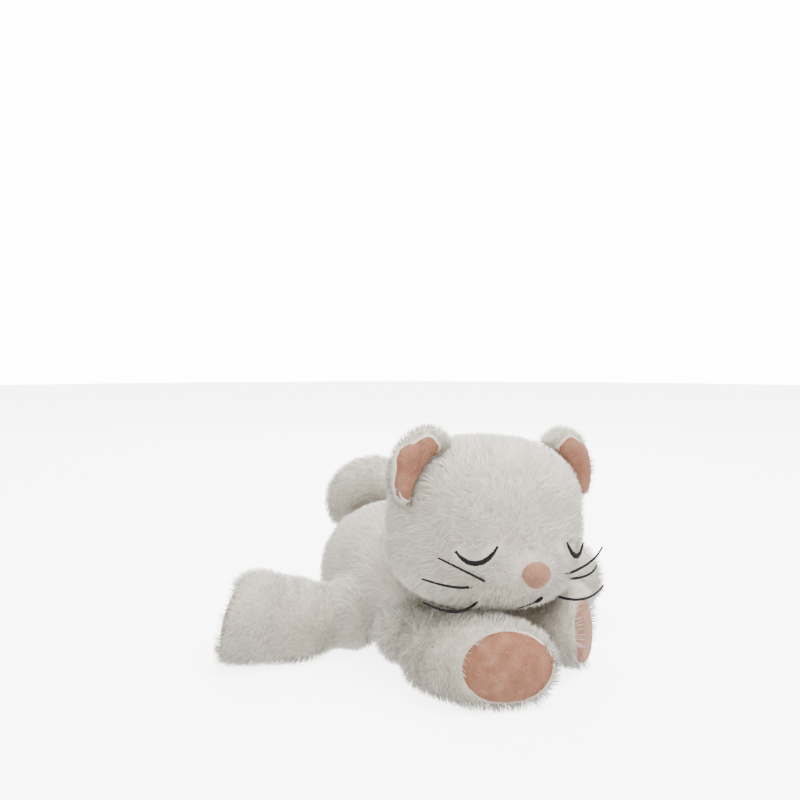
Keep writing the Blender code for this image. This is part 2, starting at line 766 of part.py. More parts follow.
def build_limb(name, side, place, heading, shape, finish):
    """Cover, stuffing and pad of an arm or a leg, all about its joint."""
    radius, length, middle, end, pad, turn, lean, under = shape
    turn = math.radians(turn) * side
    lean = math.radians(lean)
    hub = joint_empty(name + "_joint", place)
    hub.rotation_euler = (0.0, 0.0, heading)
    form = limb_mesh(radius, length, middle, end, turn, lean, under)
    inner = offset(as_cutter(add_object(name + "_inner", form, hub)), -COVER_WALL)
    sole = Vector((length, 0.0, end[1] / 2 - radius))
    hole = oval_plug(
        name + "_pad_hole",
        hub,
        pad[0] / 2 + GAP,
        pad[1] / 2 + GAP,
        -PAD_PLUG_DEPTH,
        CUT_MARGIN,
        turn,
        lean,
    )
    plug = oval_plug(
        name + "_pad_plug",
        hub,
        pad[0] / 2,
        pad[1] / 2,
        -PAD_PLUG_DEPTH,
        CUT_MARGIN,
        turn,
        lean,
    )
    hole.location = sole
    plug.location = sole
    mouth = oval_plug(
        name + "_mouth",
        hub,
        radius * ROOT_MOUTH_SHARE,
        radius * ROOT_MOUTH_SHARE,
        -radius - CUT_MARGIN,
        -radius * ROOT_MOUTH_SHARE,
    )

    cover = add_object(name + "_cover", form.copy(), hub, finish["fur"])
    cut(cover, inner)
    cut(cover, mouth)
    cut(cover, hole)
    sole_pad = add_object(name + "_pad", form.copy(), hub, finish["velour"])
    cut(sole_pad, plug, "INTERSECT")
    cut(sole_pad, inner)
    stuffing = add_object(name + "_stuffing", form.copy(), hub, finish["fibre"])
    offset(stuffing, -COVER_WALL - GAP)


def build_tail(finish):
    hub = joint_empty("tail_joint", TAIL_ROOT)
    form = tail_mesh()
    inner = offset(as_cutter(add_object("tail_inner", form, hub)), -COVER_WALL)
    mouth = box_cutter(
        "tail_mouth",
        TAIL_ROOT - Vector((CUT_MARGIN, CUT_MARGIN, CUT_MARGIN)),
        TAIL_ROOT + Vector((CUT_MARGIN, CUT_MARGIN, -TAIL_ROOT_RADIUS * ROOT_MOUTH_SHARE)),
    )
    cover = add_object("tail_cover", form.copy(), hub, finish["fur"])
    cut(cover, inner)
    cut(cover, mouth)
    stuffing = add_object("tail_stuffing", form.copy(), hub, finish["fibre"])
    offset(stuffing, -COVER_WALL - GAP)


# --------------------------------------------------------------------- build
SIDES = ((-1, "right"), (1, "left"))
FORM_TREES = {}
TAIL_ROOT = Vector((TAIL_ROOT_SIDE, BODY_LENGTH / 2 - TAIL_ROOT_INSET, TAIL_ROOT_HEIGHT))


def main():
    clear_scene()
    finish = {
        "fur": material("white_fur", (0.90, 0.87, 0.82), 0.95),
        "fibre": material("fibre_filling", (0.93, 0.93, 0.92), 1.0),
        "velour": material("pink_velour", (0.66, 0.36, 0.27), 0.9),
        "nose": material("nose_velour", (0.74, 0.48, 0.38), 0.85),
        "thread": material("black_thread", (0.02, 0.02, 0.02), 0.6),
        "bristle": material("black_bristle", (0.015, 0.015, 0.02), 0.4),
        "pouch": material("bead_pouch", (0.75, 0.73, 0.68), 0.8),
    }
    build_torso(finish)
    build_head(finish)
    arm = ((ARM_WIDTH, ARM_HEIGHT), (PAW_WIDTH, PAW_HEIGHT), (PAW_PAD_WIDTH, PAW_PAD_HEIGHT))
    foot = ((LEG_WIDTH, LEG_HEIGHT), (FOOT_WIDTH, FOOT_HEIGHT), (FOOT_PAD_WIDTH, FOOT_PAD_HEIGHT))
    leg = (LEG_ROOT_RADIUS, LEG_LENGTH, *foot, FOOT_TURN, FOOT_LEAN, LIMB_UNDER)
    poses = {
        "right": (ARM_RIGHT_HEADING, PAW_RIGHT_TURN, ARM_LENGTH, LIMB_UNDER),
        "left": (ARM_LEFT_HEADING, PAW_LEFT_TURN, ARM_LENGTH - ARM_LEFT_FOLD, ARM_LEFT_UNDER),
    }
    for side, label in SIDES:
        inwards, turn, length, under = poses[label]
        shoulder = Vector((side * SHOULDER_SPREAD, SHOULDER_Y, SHOULDER_Z))
        heading = -math.pi / 2 - side * math.radians(inwards)
        shape = (ARM_ROOT_RADIUS, length, *arm, turn, PAW_LEAN, under)
        build_limb("arm_" + label, side, shoulder, heading, shape, finish)
        hip = Vector((side * HIP_X, HIP_Y, HIP_Z))
        back = math.radians(LEG_HEADING)
        heading = back if side > 0 else math.pi - back
        build_limb("leg_" + label, side, hip, heading, leg, finish)
    build_tail(finish)


main()
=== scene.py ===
"""Looks of the lying plush cat: long white pile, pink velour, stitched face and bristle whiskers."""

import json
import math

import bmesh
import bpy
import numpy as np
from mathutils import Matrix, Vector
from mathutils.bvhtree import BVHTree
from mathutils.geometry import convex_hull_2d
from mathutils.kdtree import KDTree


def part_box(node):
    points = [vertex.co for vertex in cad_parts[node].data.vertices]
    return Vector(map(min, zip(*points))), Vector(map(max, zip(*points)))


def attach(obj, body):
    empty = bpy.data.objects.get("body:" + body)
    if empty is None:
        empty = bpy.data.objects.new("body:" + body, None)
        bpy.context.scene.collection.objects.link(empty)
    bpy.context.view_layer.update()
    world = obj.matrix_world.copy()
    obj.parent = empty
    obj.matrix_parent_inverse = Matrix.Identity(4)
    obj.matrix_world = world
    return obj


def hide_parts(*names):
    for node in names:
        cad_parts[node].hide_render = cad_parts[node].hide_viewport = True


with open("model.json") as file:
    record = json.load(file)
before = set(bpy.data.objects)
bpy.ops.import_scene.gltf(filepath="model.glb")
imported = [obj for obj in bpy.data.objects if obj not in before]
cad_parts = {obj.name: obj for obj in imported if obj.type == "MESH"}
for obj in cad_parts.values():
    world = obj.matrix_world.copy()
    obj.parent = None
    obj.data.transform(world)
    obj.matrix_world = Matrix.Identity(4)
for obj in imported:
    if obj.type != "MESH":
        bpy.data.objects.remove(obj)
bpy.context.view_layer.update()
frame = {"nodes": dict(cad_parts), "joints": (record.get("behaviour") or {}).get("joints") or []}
NODES = frame["nodes"]
JOINTS = {joint["name"]: joint for joint in frame["joints"]}
RIGHT = -1
LEFT = 1
SIDES = ((RIGHT, "right"), (LEFT, "left"))

# ------------------------------------------------------------------ sizes
SKIN_INSET = 0.0030        # the cloth backing lies this far under the CAD surface
NECK_INSET = 0.0040
TAIL_INSET = 0.0012
EAR_INSET = 0.0012
TORSO_VOXEL = 0.0030
HEAD_VOXEL = 0.0028
NECK_VOXEL = 0.0025
TAIL_VOXEL = 0.0022
EAR_VOXEL = 0.0014
LIMB_VOXEL = 0.0025

PILE = 0.0092
EAR_PILE = 0.0060
TAIL_PILE = 0.0085
NECK_PILE = 0.0085
FIBRE_WIDTH = 0.00042
EAR_FIBRE_WIDTH = 0.00036
STRANDS = 0.70e6           # strands to a square metre on the body
PRESSED = 0.0005           # height of pressed pile over the floor

HEAD_ROLL = math.radians(2.5)
HEAD_YAW = math.radians(1.0)
HEAD_MIDDLE = Vector((0.0, -0.1044, 0.1074))
ARM_SOCKET = 0.0225
LEG_SOCKET = 0.0270
TAIL_SOCKET = 0.0200
TAIL_LEAN = math.radians(32.0)
TAIL_CURL = 0.026          # radius of the curl's middle line

RIM_BARE = 0.93            # share of a sewn piece's reach inside which no pile grows
RIM_INNER = 1.05           # out to here the pile leans over the sewn piece, fading by RIM_OUTER
RIM_OUTER = 1.45
RIM_LAY = 0.34
SOLE_LIFT = 0.0022
SOLE_GROW = 0.0030
SOLE_CROWN = 0.0012
LINING_LIFT = 0.0010
LINING_GROW = 0.0024
LINING_CORNER = 0.80       # angle from straight up towards the outer side
CORNER_DRAWN = 0.20        # the corner is drawn out by this share of the reach
CORNER_WIDTH = 0.30        # over this angle
CORNER_FLAT = 0.09         # and the outline drawn in by this share
CORNER_FLAT_AT = 0.85      # at this angle on both sides of it
CORNER_FLAT_WIDTH = 0.38   # over this angle

NOSE_AT = (0.0008, -0.0220)     # from the middle of the head: to its left, up
NOSE_PROUD = 0.0016
NOSE_HALF_WIDTH = 0.0100
NOSE_HALF_HEIGHT = 0.0088
NOSE_HALF_DEPTH = 0.0068
NOSE_BARE = (0.0080, 0.0085)    # pile starts between these distances from the nose
NOSE_SHORT = (0.009, 0.024)     # and grows to full length between these

EYE_POINTS = 33
EYE_SPREAD = 0.035
EYE_WIDTH = 0.0195
EYE_DROP = 0.0075
EYE_TILT = 0.0016
EYE_SAG = 0.0065
EYE_LIFT = 0.0060               # height of the stitches over the cloth backing
EYE_CLEAR = (0.0022, 0.0085)
STITCH_END = 0.0008             # half length of the stitches at the ends of a lid
STITCH_BELLY = 0.0009           # added in its middle
STITCH_RADII = (0.00045, 0.00080, 0.00045)
LASHES = 3
LASH_LENGTH = 0.0034
LASH_RADII = (0.0007, 0.00058, 0.00022)

MOUTH_STEPS = 16
MOUTH_START = 0.009
MOUTH_WIDTH = 0.011
MOUTH_DROP = 0.036
MOUTH_HEIGHT = 0.008
MOUTH_LIFT = 0.0040             # height over the cloth backing
MOUTH_CLEAR = (0.0012, 0.006)

CHIN = (-0.020, -0.046)         # pile lengthens between these heights from the head's middle
CHIN_LONGER = 0.95

WHISKER_STEPS = 24
WHISKER_RADIUS = 0.0009
WHISKER_TAPER = 0.0003
WHISKER_BOW = 0.0060
WHISKER_PROUD = 0.0015
WHISKERS = (
    # row, spread, drop, reach to the side, rise and set-back of its tip, sag
    ("upper", 0.030, 0.026, 0.033, 0.0165, 0.003, 0.0),
    ("middle", 0.036, 0.0305, 0.032, 0.0055, 0.008, 0.001),
    ("lower", 0.028, 0.041, 0.042, 0.0035, -0.003, 0.005),
)

TORSO_NODES = ("back_cover", "belly_cover", "body_stuffing", "belly_bead_pouch")
HEAD_NODES = ("face_cover", "head_back_cover", "head_stuffing")
NECK_NODES = ("neck_stuffing",)
TAIL_NODES = ("tail_cover", "tail_stuffing")

FLOOR_REACH = 6.0
FLOOR_GLOW = 5.0
SURROUND_RADIUS = 5.5
SURROUND_GLOW = 15.0
DAYLIGHT = 1.9


# ------------------------------------------------------------------ camera
def add_camera():
    heading = math.radians(32.0)
    away = 0.600
    height = 0.230
    place = Vector((-math.sin(heading) * away, -math.cos(heading) * away - 0.100, height))
    aim_left = math.radians(5.44)
    aim_down = math.radians(3.41)
    camera = bpy.data.cameras.new("camera")
    camera.sensor_width = 36.0
    camera.lens = 37.8
    camera.clip_start = 0.01
    camera.clip_end = 50.0
    made = bpy.data.objects.new("camera", camera)
    bpy.context.scene.collection.objects.link(made)
    toward = heading - aim_left
    forward = Vector((
        math.sin(toward) * math.cos(aim_down),
        math.cos(toward) * math.cos(aim_down),
        -math.sin(aim_down),
    ))
    made.location = place
    made.rotation_euler = forward.to_track_quat("-Z", "Y").to_euler()
    bpy.context.scene.camera = made


# --------------------------------------------------------------- materials
def new_material(name):
    made = bpy.data.materials.new(name)
    made.use_nodes = True
    return made, made.node_tree.nodes, made.node_tree.links, made.node_tree.nodes["Principled BSDF"]


def noise_node(nodes, links, scale, detail, roughness=0.6):
    where = nodes.new("ShaderNodeTexCoord")
    noise = nodes.new("ShaderNodeTexNoise")
    noise.inputs["Scale"].default_value = scale
    noise.inputs["Detail"].default_value = detail
    noise.inputs["Roughness"].default_value = roughness
    links.new(where.outputs["Object"], noise.inputs["Vector"])
    return noise


def ramp_node(nodes, links, source, stops):
    ramp = nodes.new("ShaderNodeValToRGB")
    elements = ramp.color_ramp.elements
    elements[0].position, elements[0].color = stops[0]
    elements[1].position, elements[1].color = stops[-1]
    for place, colour in stops[1:-1]:
        element = elements.new(place)
        element.color = colour
    links.new(source, ramp.inputs["Fac"])
    return ramp


def rgb(red, green, blue):
    return (red, green, blue, 1.0)


def pile_material():
    """Fibres of the long pile: painted shade deepens the colour towards the root, the tip is lightest."""
    made, nodes, links, shader = new_material("pile_fibre")
    root_shade_and_tone = nodes.new("ShaderNodeAttribute")
    root_shade_and_tone.attribute_name = "root_shade_and_tone"
    # painted shade: the fibre colour deepens from the tip down to the root, with random tone per strand and
    # tuft
    along = ramp_node(nodes, links, root_shade_and_tone.outputs["Fac"], (
        (0.0, rgb(0.53, 0.465, 0.365)),
        (0.45, rgb(0.76, 0.70, 0.60)),
        (1.0, rgb(0.88, 0.84, 0.755)),
    ))
    patches = noise_node(nodes, links, 28.0, 3.0)
    tint = ramp_node(nodes, links, patches.outputs["Fac"], (
        (0.35, rgb(0.965, 0.955, 0.93)),
        (0.65, rgb(1.0, 1.0, 1.0)),
    ))
    mix = nodes.new("ShaderNodeMix")
    mix.data_type = "RGBA"
    mix.blend_type = "MULTIPLY"
    mix.inputs["Factor"].default_value = 1.0
    links.new(along.outputs["Color"], mix.inputs["A"])
    links.new(tint.outputs["Color"], mix.inputs["B"])
    links.new(mix.outputs["Result"], shader.inputs["Base Color"])
    shader.inputs["Roughness"].default_value = 0.85
    shader.inputs["Specular IOR Level"].default_value = 0.2
    shader.inputs["Sheen Weight"].default_value = 0.15
    shader.inputs["Sheen Roughness"].default_value = 0.5
    # a fibre is lit the same from both faces of its ribbon
    shape = nodes.new("ShaderNodeNewGeometry")
    turn = nodes.new("ShaderNodeMath")
    turn.operation = "MULTIPLY_ADD"
    turn.inputs[1].default_value = -2.0
    turn.inputs[2].default_value = 1.0
    links.new(shape.outputs["Backfacing"], turn.inputs[0])
    facing = nodes.new("ShaderNodeVectorMath")
    facing.operation = "SCALE"
    links.new(shape.outputs["Normal"], facing.inputs[0])
    links.new(turn.outputs["Value"], facing.inputs["Scale"])
    links.new(facing.outputs["Vector"], shader.inputs["Normal"])
    return made


def backing_material():
    """The knitted ground between the roots of the pile."""
    made, nodes, links, shader = new_material("pile_backing")
    fine = noise_node(nodes, links, 900.0, 4.0)
    # colour as deep as the fibre roots: painted shade at the foot of the pile, over a fine random knit
    # grain
    colour = ramp_node(nodes, links, fine.outputs["Fac"], (
        (0.3, rgb(0.56, 0.50, 0.41)),
        (0.7, rgb(0.68, 0.62, 0.53)),
    ))
    links.new(colour.outputs["Color"], shader.inputs["Base Color"])
    shader.inputs["Roughness"].default_value = 0.95
    shader.inputs["Specular IOR Level"].default_value = 0.1
    bump = nodes.new("ShaderNodeBump")
    bump.inputs["Strength"].default_value = 0.6
    bump.inputs["Distance"].default_value = 0.0008
    links.new(fine.outputs["Fac"], bump.inputs["Height"])
    links.new(bump.outputs["Normal"], shader.inputs["Normal"])
    return made


def velour_material(name, deep, middle, light):
    """Short velour: a fine random nap grain, with lighter and deeper patches of painted highlight and shade
    from the brushed nap.
    """
    made, nodes, links, shader = new_material(name)
    nap = noise_node(nodes, links, 1500.0, 3.0, 0.7)
    brushed = noise_node(nodes, links, 85.0, 4.0, 0.6)
    both = nodes.new("ShaderNodeMix")
    both.data_type = "FLOAT"
    both.inputs["Factor"].default_value = 0.45
    links.new(nap.outputs["Fac"], both.inputs["A"])
    links.new(brushed.outputs["Fac"], both.inputs["B"])
    # the brushed patches are painted highlight and shade of the nap; the fine nap is random grain
    colour = ramp_node(nodes, links, both.outputs["Result"], (
        (0.36, deep),
        (0.5, middle),
        (0.66, light),
    ))
    links.new(colour.outputs["Color"], shader.inputs["Base Color"])
    shader.inputs["Roughness"].default_value = 0.8
    shader.inputs["Specular IOR Level"].default_value = 0.2
    shader.inputs["Sheen Weight"].default_value = 0.12
    shader.inputs["Sheen Roughness"].default_value = 0.35
    bump = nodes.new("ShaderNodeBump")
    bump.inputs["Strength"].default_value = 0.7
    bump.inputs["Distance"].default_value = 0.0006
    links.new(nap.outputs["Fac"], bump.inputs["Height"])
    links.new(bump.outputs["Normal"], shader.inputs["Normal"])
    return made


def thread_material():
    made, nodes, links, shader = new_material("embroidery_thread")
    twist = noise_node(nodes, links, 2600.0, 2.0)
    colour = ramp_node(nodes, links, twist.outputs["Fac"], (
        (0.3, rgb(0.004, 0.004, 0.004)),
        (0.7, rgb(0.018, 0.017, 0.017)),
    ))
    links.new(colour.outputs["Color"], shader.inputs["Base Color"])
    shader.inputs["Roughness"].default_value = 0.8
    shader.inputs["Specular IOR Level"].default_value = 0.05
    return made


def bristle_material():
    made, nodes, links, shader = new_material("black_bristle")
    streak = noise_node(nodes, links, 700.0, 2.0)
    colour = ramp_node(nodes, links, streak.outputs["Fac"], (
        (0.3, rgb(0.004, 0.004, 0.004)),
        (0.7, rgb(0.010, 0.010, 0.010)),
    ))
    links.new(colour.outputs["Color"], shader.inputs["Base Color"])
    shader.inputs["Roughness"].default_value = 0.5
    shader.inputs["Specular IOR Level"].default_value = 0.05
    return made


def floor_material():
    made, nodes, links, shader = new_material("pale_floor")
    grain = noise_node(nodes, links, 3.0, 2.0)
    colour = ramp_node(nodes, links, grain.outputs["Fac"], (
        (0.3, rgb(0.93, 0.93, 0.93)),
        (0.7, rgb(0.95, 0.95, 0.95)),
    ))
    links.new(colour.outputs["Color"], shader.inputs["Base Color"])
    shader.inputs["Roughness"].default_value = 0.9
    shader.inputs["Specular IOR Level"].default_value = 0.0
    shader.inputs["Emission Color"].default_value = (1.0, 1.0, 1.0, 1.0)
    shader.inputs["Emission Strength"].default_value = FLOOR_GLOW
    return made


# ------------------------------------------------------------- mesh helpers
def grid_faces(rings, spokes):
    """Faces between rings of points, each ring closed on itself."""
    faces = []
    for ring in range(rings):
        for spoke in range(spokes):
            low = ring * spokes
            after = (spoke + 1) % spokes
            faces.append((low + spoke, low + after, low + spokes + after, low + spokes + spoke))
    return faces


def link(name, mesh, material):
    made = bpy.data.objects.new(name, mesh)
    bpy.context.scene.collection.objects.link(made)
    made.data.materials.clear()
    made.data.materials.append(material)
    return made


def joined_mesh(name, nodes):
    """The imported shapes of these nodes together, in one mesh."""
    verts = []
    faces = []
    for node in nodes:
        mesh = NODES[node].data
        base = len(verts)
        verts += [vertex.co.copy() for vertex in mesh.vertices]
        faces += [[base + corner for corner in face.vertices] for face in mesh.polygons]
    made = bpy.data.meshes.new(name)
    made.from_pydata(verts, [], faces)
    made.validate()
    return made


def settle(piece):
    """Bakes the piece's modifiers into its mesh."""
    graph = bpy.context.evaluated_depsgraph_get()
    mesh = bpy.data.meshes.new_from_object(piece.evaluated_get(graph))
    piece.modifiers.clear()
    old = piece.data
    piece.data = mesh
    bpy.data.meshes.remove(old)
    return piece


def outer_shell(mesh):
    """Drops the inside surfaces, keeping the largest connected surface."""
    count = len(mesh.vertices)
    edges = np.empty(len(mesh.edges) * 2, np.int32)
    mesh.edges.foreach_get("vertices", edges)
    edges = edges.reshape(-1, 2)
    label = np.arange(count)
    while True:
        low = np.minimum(label[edges[:, 0]], label[edges[:, 1]])
        fresh = label.copy()
        np.minimum.at(fresh, edges[:, 0], low)
        np.minimum.at(fresh, edges[:, 1], low)
        fresh = fresh[fresh]
        if (fresh == label).all():
            break
        label = fresh
    names, sizes = np.unique(label, return_counts=True)
    keep = names[np.argmax(sizes)]
    if len(names) > 1:
        form = bmesh.new()
        form.from_mesh(mesh)
        gone = [vertex for vertex in form.verts if label[vertex.index] != keep]
        bmesh.ops.delete(form, geom=gone, context="VERTS")
        form.to_mesh(mesh)
        form.free()


def add_ball(mesh, place, radius):
    """Adds a filled ball to a mesh, to close a socket before it is remeshed."""
    form = bmesh.new()
    form.from_mesh(mesh)
    where = Matrix.Translation(Vector(place))
    bmesh.ops.create_uvsphere(form, u_segments=40, v_segments=20, radius=radius, matrix=where)
    form.to_mesh(mesh)
    form.free()


def skin(name, nodes, voxel, inset, material, smooth=8, balls=()):
    """One closed cloth skin over CAD nodes, set in to leave room for the pile."""
    piece = link(name, joined_mesh(name, nodes), material)
    for place, radius in balls:
        add_ball(piece.data, place, radius)
    remesh = piece.modifiers.new("remesh", "REMESH")
    remesh.mode = "VOXEL"
    remesh.voxel_size = voxel
    settle(piece)
    outer_shell(piece.data)
    soften = piece.modifiers.new("soften", "SMOOTH")
    soften.factor = 0.5
    soften.iterations = smooth
    sink = piece.modifiers.new("sink", "DISPLACE")
    sink.mid_level = 0.0
    sink.strength = -inset
    settle(piece)
    piece.data.shade_smooth()
    return piece


def arrays(mesh):
    """Corner positions, normals and triangles of a mesh."""
    count = len(mesh.vertices)
    places = np.empty(count * 3)
    mesh.vertices.foreach_get("co", places)
    normals = np.empty(count * 3)
    mesh.vertices.foreach_get("normal", normals)
    mesh.calc_loop_triangles()
    triangles = np.empty(len(mesh.loop_triangles) * 3, np.int32)
    mesh.loop_triangles.foreach_get("vertices", triangles)
    return places.reshape(-1, 3), normals.reshape(-1, 3), triangles.reshape(-1, 3)


def tree_of(mesh):
    places, _, triangles = arrays(mesh)
    return BVHTree.FromPolygons(places.tolist(), triangles.tolist())


def depth_inside(tree, places):
    """How far each place is inside a closed surface; 0 outside."""
    depth = np.zeros(len(places))
    way = Vector((0.31, 0.17, 0.935)).normalized()
    for index, place in enumerate(places):
        crossings = 0
        start = Vector(place)
        while crossings < 12:
            hit, _, _, _ = tree.ray_cast(start, way)
            if hit is None:
                break
            crossings += 1
            start = hit + way * 1e-5
        if crossings % 2:
            depth[index] = tree.find_nearest(Vector(place))[3]
    return depth


def unit(vectors):
    return vectors / np.maximum(np.linalg.norm(vectors, axis=1, keepdims=True), 1e-9)


def smooth_step(low, high, values):
    share = np.clip((values - low) / (high - low), 0.0, 1.0)
    return share * share * (3.0 - 2.0 * share)


def waves(places, size, seed):
    """Soft random drift of three components, repeating over about size metres."""
    rng = np.random.default_rng(seed)
    out = np.zeros((len(places), 3))
    for octave in range(5):
        turn = rng.normal(size=(3, 3)) * (2 * math.pi / size) * (1.0 + 0.5 * octave) * 0.5
        start = rng.uniform(0, 2 * math.pi, 3)
        out += np.sin(places @ turn + start) / (1.0 + 0.4 * octave)
    return out / 2.0


# -------------------------------------------------------------------- pile
def scatter(mesh, per_area, rng):
    places, normals, triangles = arrays(mesh)
    a, b, c = places[triangles[:, 0]], places[triangles[:, 1]], places[triangles[:, 2]]
    area = np.linalg.norm(np.cross(b - a, c - a), axis=1) / 2
    share = np.cumsum(area)
    count = int(share[-1] * per_area)
    picked = np.searchsorted(share, (np.arange(count) + rng.uniform(size=count)) * share[-1] / count)
    picked = np.minimum(picked, len(area) - 1)
    u = rng.uniform(size=(count, 1))
    v = rng.uniform(size=(count, 1))
    over = u + v > 1.0
    u[over] = 1.0 - u[over]
    v[over] = 1.0 - v[over]
    corners = triangles[picked]
    spots = a[picked] * (1 - u - v) + b[picked] * u + c[picked] * v
    facing = normals[corners[:, 0]] * (1 - u - v) + normals[corners[:, 1]] * u + normals[corners[:, 2]] * v
    return spots, unit(facing)


def pile(
    name, base, body, material, comb, length, per_area,
    thin=None, seed=1, lay=1.0, width=FIBRE_WIDTH, tuft=0.45,
):
    """Long pile as tapered ribbons rooted on a skin, combed and gathered in small tufts.

    comb gives the direction the pile is brushed in, thin the share of its
    length (0 for none) and lay how far it leans, at each root.
    """
    rng = np.random.default_rng(seed)
    roots, out = scatter(base.data, per_area, rng)
    share = np.ones(len(roots)) if thin is None else thin(roots, out)
    keep = share > 0.05
    roots, out, share = roots[keep], out[keep], share[keep]
    count = len(roots)
    brushed = comb(roots, out) + 0.62 * waves(roots, 0.026, seed + 1) + 0.32 * rng.normal(size=(count, 3))
    brushed = unit(brushed - out * np.sum(brushed * out, axis=1, keepdims=True))
    tall = (length * share * rng.uniform(0.72, 1.08, count))[:, None]
    droop = ((lay(roots, out) if callable(lay) else lay) * rng.uniform(0.8, 1.2, count))[:, None]

    steps = []
    place = roots - out * 0.0008
    steps.append(place)
    for lean in (0.45, 0.85, 1.15):
        turn = lean * droop
        place = place + (out * np.cos(turn) + brushed * np.sin(turn)) * tall / 3
        steps.append(place)
    steps = np.stack(steps, axis=1)

    leaders = rng.choice(count, max(count // 14, 1), replace=False)
    finder = KDTree(len(leaders))
    for index, leader in enumerate(leaders):
        finder.insert(roots[leader], index)
    finder.balance()
    near = np.array([leaders[finder.find(root)[1]] for root in roots])
    gathered = steps[near] + (roots - roots[near])[:, None, :] * 0.35
    pull = np.array((0.0, 0.25, 0.7, 1.0))[None, :, None] * tuft * rng.uniform(0.3, 1.0, (count, 1, 1))
    steps = steps + (gathered - steps) * pull
    # pile under the toy is pressed flat on what it lies on
    steps[:, 1:, 2] = np.maximum(steps[:, 1:, 2], PRESSED)

    along = unit(steps[:, 3] - steps[:, 0])
    flat = unit(np.cross(out, along))
    turn = rng.uniform(-1.1, 1.1, (count, 1))
    across = flat * np.cos(turn) + np.cross(along, flat) * np.sin(turn)
    half = width / 2 * rng.uniform(0.7, 1.3, (count, 1))
    verts = np.empty((count, 7, 3))
    for index, taper in enumerate((1.0, 0.85, 0.5)):
        verts[:, 2 * index] = steps[:, index] - across * half * taper
        verts[:, 2 * index + 1] = steps[:, index] + across * half * taper
    verts[:, 6] = steps[:, 3]
    start = (np.arange(count) * 7)[:, None]
    quads = np.concatenate((start + (0, 1, 3, 2), start + (2, 3, 5, 4)), axis=0)
    tips = start + (4, 5, 6)
    mesh = bpy.data.meshes.new(name)
    mesh.vertices.add(count * 7)
    mesh.vertices.foreach_set("co", verts.reshape(-1))
    loops = np.concatenate((quads.reshape(-1), tips.reshape(-1))).astype(np.int32)
    totals = np.concatenate((np.full(len(quads), 4), np.full(len(tips), 3)))
    starts = np.concatenate(((0,), np.cumsum(totals)[:-1]))
    mesh.loops.add(len(loops))
    mesh.loops.foreach_set("vertex_index", loops)
    mesh.polygons.add(len(totals))
    mesh.polygons.foreach_set("loop_start", starts.astype(np.int32))
    mesh.update(calc_edges=True)
    mesh.shade_smooth()

    # painted shade along each fibre, darkest at the root, plus random tone per strand and per tuft
    root_shade_and_tone = np.array((0.0, 0.0, 0.4, 0.4, 0.8, 0.8, 1.0))[None, :] + rng.uniform(-0.28, 0.22, (count, 1))
    root_shade_and_tone = root_shade_and_tone + rng.uniform(-0.16, 0.12, len(roots))[near][:, None]
    shade = mesh.attributes.new("root_shade_and_tone", "FLOAT", "POINT")
    shade.data.foreach_set("value", np.clip(root_shade_and_tone, 0.0, 1.0).reshape(-1).astype(np.float32))
    cells = math.ceil(math.sqrt(count))
    cell = np.stack((np.arange(count) % cells, np.arange(count) // cells), axis=1)
    spread = np.array(((0.2, 0.1), (0.8, 0.1), (0.2, 0.4), (0.8, 0.4), (0.3, 0.7), (0.7, 0.7), (0.5, 0.95)))
    uv = ((cell[:, None, :] + spread[None]) / cells).reshape(-1, 2)
    layer = mesh.uv_layers.new(name="OFBake")
    layer.data.foreach_set("uv", uv[loops].reshape(-1).astype(np.float32))
    face = unit(out + 0.35 * along + 0.30 * rng.normal(size=(count, 3)))
    mesh.normals_split_custom_set_from_vertices(np.repeat(face, 7, axis=0))
    made = link(name, mesh, material)
    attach(made, body)
    return made


# ----------------------------------------------------------------- patches
def plane_of(node, facing):
    """Middle, outward normal and two in-plane axes of a thin CAD piece."""
    places, _, _ = arrays(NODES[node].data)
    middle = places.mean(axis=0)
    _, _, axes = np.linalg.svd(places - middle, full_matrices=False)
    normal = Vector(axes[2])
    if normal.dot(facing) < 0:
        normal = -normal
    side = Vector((0, 0, 1)).cross(normal).normalized()
    rise = normal.cross(side).normalized()
    return Vector(middle), normal, side, rise


def outline(node, middle, side, rise, spokes, grow):
    """How far the piece reaches from its middle in each in-plane direction."""
    places = [vertex.co - middle for vertex in NODES[node].data.vertices]
    flat = [(place.dot(side), place.dot(rise)) for place in places]
    ring = [Vector(flat[index]) for index in convex_hull_2d(flat)]
    reach = []
    for spoke in range(spokes):
        angle = 2 * math.pi * spoke / spokes
        way = Vector((math.cos(angle), math.sin(angle)))
        best = 0.0
        for first, second in zip(ring, ring[1:] + ring[:1]):
            edge = second - first
            bottom = way.x * edge.y - way.y * edge.x
            if abs(bottom) < 1e-12:
                continue
            far = (first.x * edge.y - first.y * edge.x) / bottom
            share = (first.x * way.y - first.y * way.x) / bottom
            if far > 0 and -1e-6 <= share <= 1 + 1e-6:
                best = max(best, far)
        reach.append(best + grow)
    reach = np.array(reach)
    for _ in range(3):
        reach = (np.roll(reach, 1) + 2 * reach + np.roll(reach, -1)) / 4
    return reach


def cornered(reach, corner):
    """The outline drawn out to a corner in one direction and drawn in on both sides of it."""
    angle = 2 * math.pi * np.arange(len(reach)) / len(reach)
    off = np.abs(np.mod(angle - corner + math.pi, 2 * math.pi) - math.pi)
    drawn = np.exp(-((off / CORNER_WIDTH) ** 2))
    flattened = np.exp(-(((off - CORNER_FLAT_AT) / CORNER_FLAT_WIDTH) ** 2))
    return reach * (1.0 + CORNER_DRAWN * drawn - CORNER_FLAT * flattened)


